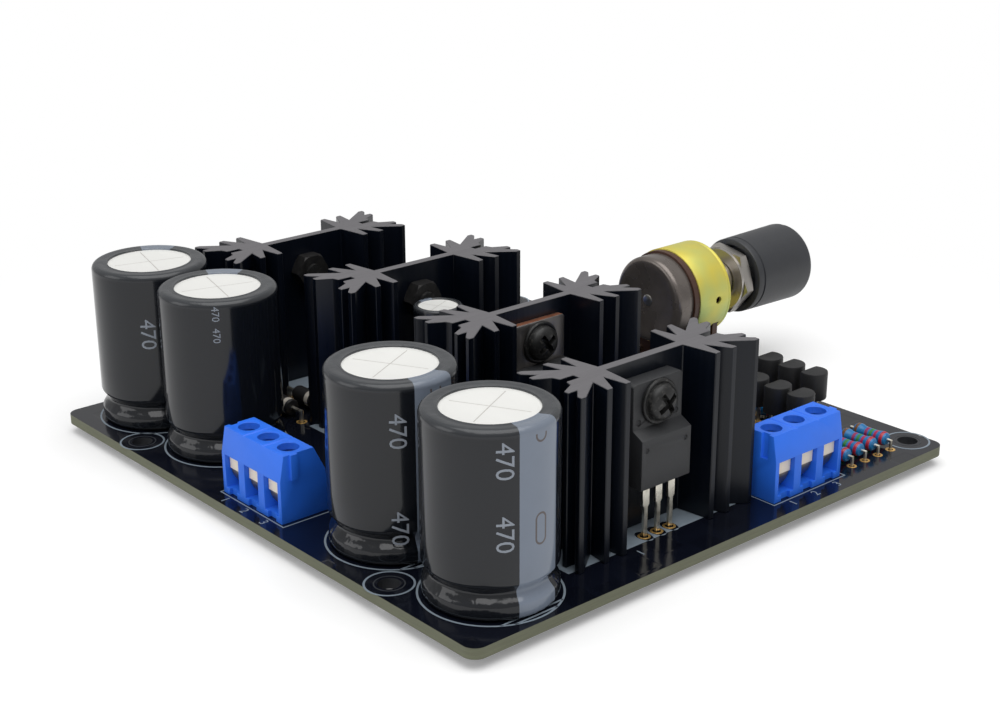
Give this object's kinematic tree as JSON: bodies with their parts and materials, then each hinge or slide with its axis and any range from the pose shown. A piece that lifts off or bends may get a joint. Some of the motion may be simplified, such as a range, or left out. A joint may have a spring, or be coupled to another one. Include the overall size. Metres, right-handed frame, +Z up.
{
  "type": "audio preamplifier",
  "caption": "Dark square circuit board that sets the volume of a stereo signal, with a front knob, finned heatsinks, tall round capacitors and blue screw terminals along its edges.",
  "frame": {"origin": "centre of the circuit board's underside", "axes": "+Z up, away from the solder side; -Y toward the knob; +X along the knob edge, to the right when the knob faces the viewer"},
  "size_m": [0.105, 0.1208, 0.0297],
  "materials": {
    "board": "glossy dark solder mask on glass-fibre laminate",
    "sleeve": "glossy black shrink sleeve",
    "tinned": "bright tin",
    "heatsink": "black anodised",
    "moulding": "matt black moulding",
    "tab": "tinned copper",
    "black_steel": "black oxide",
    "plated": "bright plated",
    "terminal": "satin blue moulding",
    "screw": "zinc plated",
    "contact": "nickel plated",
    "pot_case": "yellow passivated zinc",
    "wafer": "brown phenolic",
    "pot_can": "grey-brown",
    "shaft": "satin",
    "rotor": "matt",
    "knob": "satin black",
    "resistor": "blue lacquer"
  },
  "bodies": {
    "board": {"capacitor_1": "sleeve", "capacitor_2": "sleeve", "capacitor_3": "sleeve", "capacitor_4": "sleeve", "capacitor_leads": "tinned", "circuit_board": "board", "diode_bodies": "moulding", "diode_leads": "tinned", "heatsink_1": "heatsink", "heatsink_2": "heatsink", "heatsink_3": "heatsink", "heatsink_4": "heatsink", "heatsink_pins": "tinned", "input_terminal_housing": "terminal", "output_terminal_housing": "terminal", "pot_bushing": "plated", "pot_case": "pot_case", "pot_nut": "plated", "pot_pins": "tinned", "pot_rear_can": "pot_can", "pot_wafers": "wafer", "pot_washer": "plated", "regulator_body_1": "moulding", "regulator_body_2": "moulding", "regulator_body_3": "moulding", "regulator_body_4": "moulding", "regulator_leads_1": "tinned", "regulator_leads_2": "tinned", "regulator_leads_3": "tinned", "regulator_leads_4": "tinned", "regulator_nuts": "plated", "regulator_screws": "black_steel", "regulator_tab_2": "tab", "regulator_tab_3": "tab", "resistor_bodies": "resistor", "resistor_leads": "tinned", "small_capacitor": "sleeve", "supply_terminal_housing": "terminal", "terminal_contacts": "contact", "terminal_leaves": "contact", "transistor_bodies": "moulding", "transistor_leads": "tinned"},
    "volume_control": {"pot_rotors": "rotor", "pot_shaft": "shaft", "volume_knob": "knob"},
    "supply_screw_1": {"supply_terminal_screw_1": "screw"},
    "supply_screw_2": {"supply_terminal_screw_2": "screw"},
    "supply_screw_3": {"supply_terminal_screw_3": "screw"},
    "output_screw_1": {"output_terminal_screw_1": "screw"},
    "output_screw_2": {"output_terminal_screw_2": "screw"},
    "output_screw_3": {"output_terminal_screw_3": "screw"},
    "input_screw_1": {"input_terminal_screw_1": "screw"},
    "input_screw_2": {"input_terminal_screw_2": "screw"},
    "input_screw_3": {"input_terminal_screw_3": "screw"}
  },
  "joints": [
    {"name": "volume_turn", "type": "hinge", "parent": "board", "child": "volume_control", "pos_m": [0.0004, -0.048, 0.0156], "axis": [0, -1, 0], "range_deg": [-150, 150]},
    {"name": "supply_screw_1_turn", "type": "hinge", "parent": "board", "child": "supply_screw_1", "pos_m": [0.00538, 0.04305, 0.0107], "axis": [0, 0, 1], "range_deg": [-1440, 180]},
    {"name": "supply_screw_2_turn", "type": "hinge", "parent": "board", "child": "supply_screw_2", "pos_m": [0.0003, 0.04305, 0.0107], "axis": [0, 0, 1], "range_deg": [-1440, 180]},
    {"name": "supply_screw_3_turn", "type": "hinge", "parent": "board", "child": "supply_screw_3", "pos_m": [-0.00478, 0.04305, 0.0107], "axis": [0, 0, 1], "range_deg": [-1440, 180]},
    {"name": "output_screw_1_turn", "type": "hinge", "parent": "board", "child": "output_screw_1", "pos_m": [-0.04575, -0.01402, 0.0107], "axis": [0, 0, 1], "range_deg": [-1440, 180]},
    {"name": "output_screw_2_turn", "type": "hinge", "parent": "board", "child": "output_screw_2", "pos_m": [-0.04575, -0.0191, 0.0107], "axis": [0, 0, 1], "range_deg": [-1440, 180]},
    {"name": "output_screw_3_turn", "type": "hinge", "parent": "board", "child": "output_screw_3", "pos_m": [-0.04575, -0.02418, 0.0107], "axis": [0, 0, 1], "range_deg": [-1440, 180]},
    {"name": "input_screw_1_turn", "type": "hinge", "parent": "board", "child": "input_screw_1", "pos_m": [0.04575, -0.02418, 0.0107], "axis": [0, 0, 1], "range_deg": [-1440, 180]},
    {"name": "input_screw_2_turn", "type": "hinge", "parent": "board", "child": "input_screw_2", "pos_m": [0.04575, -0.0191, 0.0107], "axis": [0, 0, 1], "range_deg": [-1440, 180]},
    {"name": "input_screw_3_turn", "type": "hinge", "parent": "board", "child": "input_screw_3", "pos_m": [0.04575, -0.01402, 0.0107], "axis": [0, 0, 1], "range_deg": [-1440, 180]}
  ]
}
